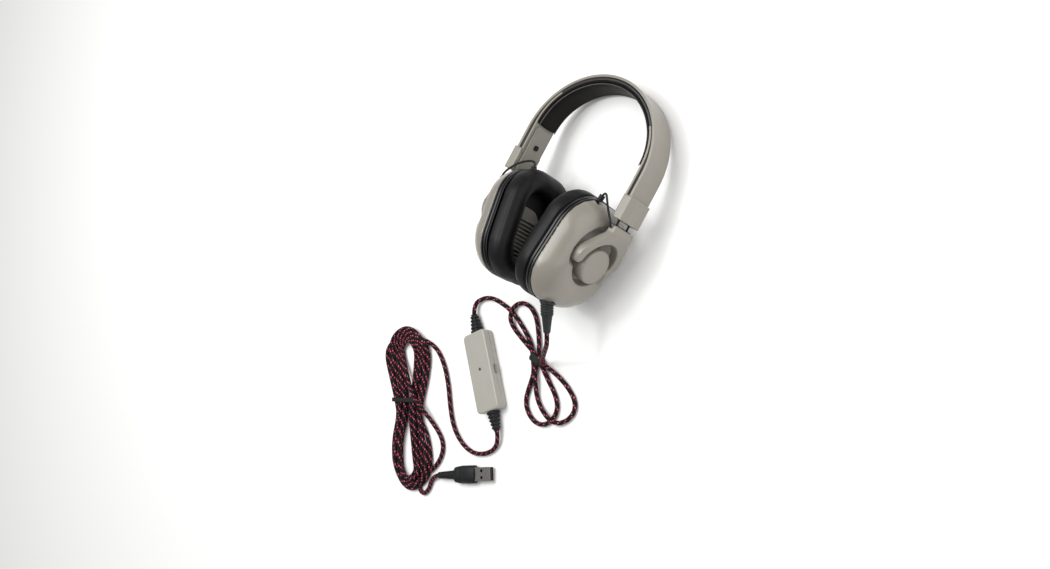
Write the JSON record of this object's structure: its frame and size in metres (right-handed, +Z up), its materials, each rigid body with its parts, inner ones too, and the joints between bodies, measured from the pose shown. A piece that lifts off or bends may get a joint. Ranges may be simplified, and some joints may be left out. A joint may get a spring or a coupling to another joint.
{
  "type": "wired headset",
  "caption": "Wired over-ear headset with a sprung headband, tilting cups, a braided cord with an in-line controller, and a USB plug.",
  "frame": {"origin": "centre of the headset's own box, without its cord, on the table that it lies on", "axes": "+Z up from the table, +Y from the cups towards the top of the headband, +X towards the corded cup"},
  "size_m": [0.2495, 0.4239, 0.0825],
  "materials": {
    "black_abs": "satin",
    "black_rubber": "matt",
    "board": "solder mask",
    "braid": "braided, black with red flecks",
    "dark_steel": "blackened",
    "film": "thin film",
    "grey_abs": "satin warm grey moulding",
    "grille_grey": "satin",
    "leatherette": "satin",
    "lens": "frosted",
    "magnet_steel": "plated",
    "pale_abs": "fine satin",
    "screw_steel": "zinc plated",
    "tie_black": "matt",
    "usb_steel": "nickel plated"
  },
  "bodies": {
    "left_cup": {"left_shell": "grey_abs", "left_boss_cap": "grey_abs", "left_baffle_ring": "black_abs", "left_grille": "grille_grey", "left_cushion": "leatherette", "left_driver_frame": "black_abs", "left_driver_magnet": "magnet_steel", "left_diaphragm": "film", "left_shell_screws": "screw_steel", "left_grommet": "black_rubber", "left_cable_loop": "black_rubber", "cord_socket": "black_abs", "cord_plug": "black_rubber", "cord_a_drop": "braid", "cord_a_coil": "braid", "cord_a_lead": "braid", "cord_b_lead": "braid", "cord_b_hank": "braid", "cord_b_tail": "braid", "coil_tie": "tie_black", "hank_tie": "tie_black", "controller_back": "pale_abs", "controller_front": "pale_abs", "controller_board": "board", "power_lens": "lens", "controller_relief_in": "black_rubber", "controller_relief_out": "black_rubber", "usb_overmould": "black_rubber", "usb_shell": "usb_steel", "usb_tongue": "black_abs"},
    "left_yoke": {"left_fork": "grey_abs", "left_slide_rods": "dark_steel"},
    "headband": {"band_outer_strip": "grey_abs", "band_spring": "black_abs", "pad_base": "black_abs", "headband_pad": "leatherette", "band_lead": "black_rubber", "left_leg_leaf": "grey_abs", "left_leg_cover": "grey_abs", "left_cover_screw": "screw_steel", "left_sleeve": "grey_abs", "right_leg_leaf": "grey_abs", "right_leg_cover": "grey_abs", "right_cover_screw": "screw_steel", "right_sleeve": "grey_abs"},
    "right_yoke": {"right_fork": "grey_abs", "right_slide_rods": "dark_steel"},
    "right_cup": {"right_shell": "grey_abs", "right_boss_cap": "grey_abs", "right_baffle_ring": "black_abs", "right_grille": "grille_grey", "right_cushion": "leatherette", "right_driver_frame": "black_abs", "right_driver_magnet": "magnet_steel", "right_diaphragm": "film", "right_shell_screws": "screw_steel", "right_grommet": "black_rubber", "right_cable_loop": "black_rubber"},
    "volume_rocker": {"volume_rocker": "black_rubber"},
    "mute_button": {"mute_button": "black_rubber"}
  },
  "joints": [
    {"name": "left_cup_tilt", "type": "hinge", "parent": "left_cup", "child": "left_yoke", "pos_m": [0.05, -0.04838, 0.04159], "axis": [0, -0.2039, -0.979], "range_deg": [-2, 16], "deforming": ["left_cable_loop"]},
    {"name": "left_size", "type": "slide", "parent": "left_yoke", "child": "headband", "axis": [0, 0.979, -0.2039], "range_m": [-0.004, 0.025]},
    {"name": "right_size", "type": "slide", "parent": "headband", "child": "right_yoke", "axis": [0, -0.979, 0.2039], "range_m": [-0.007, 0.022]},
    {"name": "right_cup_tilt", "type": "hinge", "parent": "right_yoke", "child": "right_cup", "pos_m": [-0.05, -0.05131, 0.04221], "axis": [0, 0.2039, 0.979], "range_deg": [-24, 1], "deforming": ["right_cable_loop"]},
    {"name": "volume_press", "type": "slide", "parent": "left_cup", "child": "volume_rocker", "axis": [0.7373, 0.6756, 0], "range_m": [0, 0.0008], "stiffness_N_per_m": 600},
    {"name": "mute_press", "type": "slide", "parent": "left_cup", "child": "mute_button", "axis": [-0.7373, -0.6756, 0], "range_m": [0, 0.0008], "stiffness_N_per_m": 600}
  ]
}
